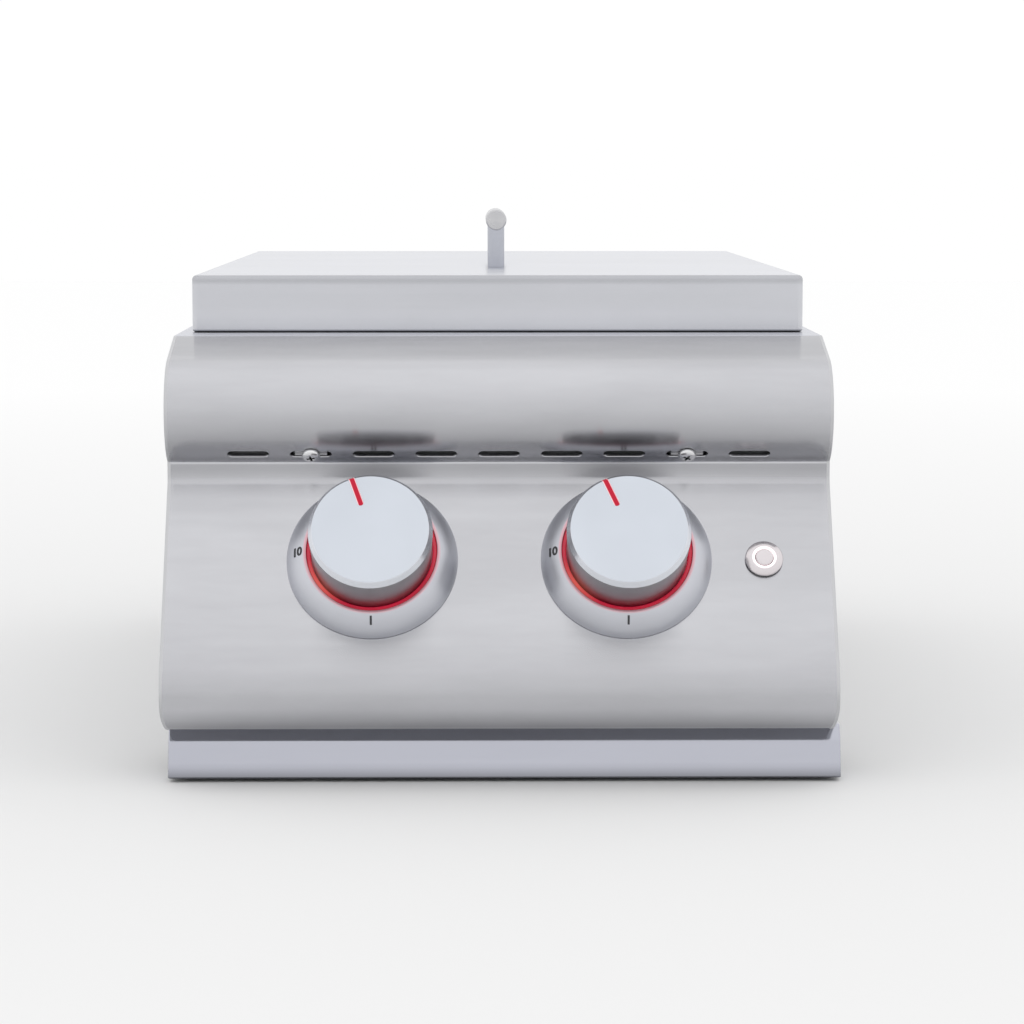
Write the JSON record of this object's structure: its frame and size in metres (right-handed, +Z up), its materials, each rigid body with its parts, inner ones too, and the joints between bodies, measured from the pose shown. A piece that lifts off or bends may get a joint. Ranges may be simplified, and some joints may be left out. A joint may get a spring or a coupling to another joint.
{
  "type": "built in side burner",
  "caption": "Built-in gas side burner with a lift-off lid, rolled control panel, lit dial knobs, push button and slide-out drip tray.",
  "frame": {"origin": "middle of the burner box's floor, on its underside", "axes": "+X to the right as seen from the front, the front looks along -Y, +Z up"},
  "size_m": [0.3456, 0.6732, 0.2872],
  "materials": {
    "satin_steel": "satin brushed stainless steel",
    "galvanised": "plain zinc coated sheet",
    "spun_metal": "spun satin metal",
    "red_light": "clear red light ring",
    "white_light": "clear white light ring",
    "cast_iron": "matt casting",
    "brass": "turned brass",
    "cast_aluminium": "cast aluminium",
    "ceramic": "glazed ceramic",
    "black_plastic": "moulded plastic",
    "black_rubber": "moulded rubber",
    "orange_rubber": "silicone covered lead"
  },
  "bodies": {
    "base": {"box_floor": "galvanised", "burner_rails": "galvanised", "button_gasket": "black_rubber", "button_housing": "satin_steel", "button_light_ring": "white_light", "button_nut": "galvanised", "control_panel": "satin_steel", "deck_frame": "satin_steel", "firewall": "galvanised", "flame_rings": "brass", "front_burner_body": "cast_iron", "gas_feed_pipe": "galvanised", "gas_inlet_fitting": "brass", "gas_jets": "brass", "gas_manifold": "galvanised", "housing_floor": "galvanised", "igniters": "ceramic", "ignition_leads": "orange_rubber", "ignition_module": "black_plastic", "lead_grommet": "black_rubber", "left_bezel": "spun_metal", "left_end_cap": "satin_steel", "left_light_ring": "red_light", "left_side_wall": "galvanised", "left_valve_body": "cast_aluminium", "manifold_brackets": "galvanised", "panel_brace": "galvanised", "panel_clips": "galvanised", "panel_screws": "satin_steel", "rear_burner_body": "cast_iron", "rear_wall": "galvanised", "right_bezel": "spun_metal", "right_end_cap": "satin_steel", "right_light_ring": "red_light", "right_side_wall": "galvanised", "right_valve_body": "cast_aluminium", "tray_runners": "galvanised"},
    "lid": {"lid_shell": "satin_steel", "handle_bar": "satin_steel", "handle_posts": "satin_steel", "handle_screws": "satin_steel"},
    "front_grate": {"front_grate": "satin_steel"},
    "rear_grate": {"rear_grate": "satin_steel"},
    "front_burner_cap": {"front_burner_cap": "cast_iron"},
    "rear_burner_cap": {"rear_burner_cap": "cast_iron"},
    "drip_tray": {"drip_tray_pan": "galvanised", "drip_tray_front": "satin_steel"},
    "left_plug": {"left_valve_plug": "brass", "left_valve_spring": "galvanised"},
    "right_plug": {"right_valve_plug": "brass", "right_valve_spring": "galvanised"},
    "left_knob": {"left_valve_stem": "brass", "left_knob": "spun_metal", "left_pointer": "red_light"},
    "right_knob": {"right_valve_stem": "brass", "right_knob": "spun_metal", "right_pointer": "red_light"},
    "button": {"button_cap": "satin_steel"},
    "front_air_shutter": {"front_air_shutter": "cast_aluminium"},
    "rear_air_shutter": {"rear_air_shutter": "cast_aluminium"}
  },
  "joints": [
    {"name": "lid_lift", "type": "slide", "parent": "base", "child": "lid", "axis": [0, 0, 1], "range_m": [0, 0.2]},
    {"name": "drip_tray_slide", "type": "slide", "parent": "base", "child": "drip_tray", "axis": [0, -1, 0], "range_m": [0, 0.42]},
    {"name": "front_grate_lift", "type": "slide", "parent": "base", "child": "front_grate", "axis": [0, 0, 1], "range_m": [0, 0.01]},
    {"name": "rear_grate_lift", "type": "slide", "parent": "base", "child": "rear_grate", "axis": [0, 0, 1], "range_m": [0, 0.01]},
    {"name": "front_cap_lift", "type": "slide", "parent": "base", "child": "front_burner_cap", "axis": [0, 0, 1], "range_m": [0, 0.012]},
    {"name": "rear_cap_lift", "type": "slide", "parent": "base", "child": "rear_burner_cap", "axis": [0, 0, 1], "range_m": [0, 0.012]},
    {"name": "left_valve_turn", "type": "hinge", "parent": "base", "child": "left_plug", "pos_m": [-0.065, -0.3358, 0.11148], "axis": [0, -0.8508, 0.5255], "range_deg": [-19, 161]},
    {"name": "left_knob_push", "type": "slide", "parent": "left_plug", "child": "left_knob", "axis": [0, 0.8508, -0.5255], "range_m": [0, 0.0035], "stiffness_N_per_m": 1500, "springref_m": -0.002, "deforming": ["left_valve_spring"]},
    {"name": "right_valve_turn", "type": "hinge", "parent": "base", "child": "right_plug", "pos_m": [0.065, -0.3358, 0.11148], "axis": [0, -0.8508, 0.5255], "range_deg": [-23, 157]},
    {"name": "right_knob_push", "type": "slide", "parent": "right_plug", "child": "right_knob", "axis": [0, 0.8508, -0.5255], "range_m": [0, 0.0035], "stiffness_N_per_m": 1500, "springref_m": -0.002, "deforming": ["right_valve_spring"]},
    {"name": "button_push", "type": "slide", "parent": "base", "child": "button", "axis": [0, 0.8508, -0.5255], "range_m": [0, 0.0015], "stiffness_N_per_m": 800, "springref_m": -0.0015},
    {"name": "front_air_shutter_turn", "type": "hinge", "parent": "base", "child": "front_air_shutter", "pos_m": [0.065, -0.264, 0.09257], "axis": [0, 1, 0], "range_deg": [-35, 35]},
    {"name": "rear_air_shutter_turn", "type": "hinge", "parent": "base", "child": "rear_air_shutter", "pos_m": [-0.065, -0.264, 0.09257], "axis": [0, 1, 0], "range_deg": [-35, 35]}
  ]
}
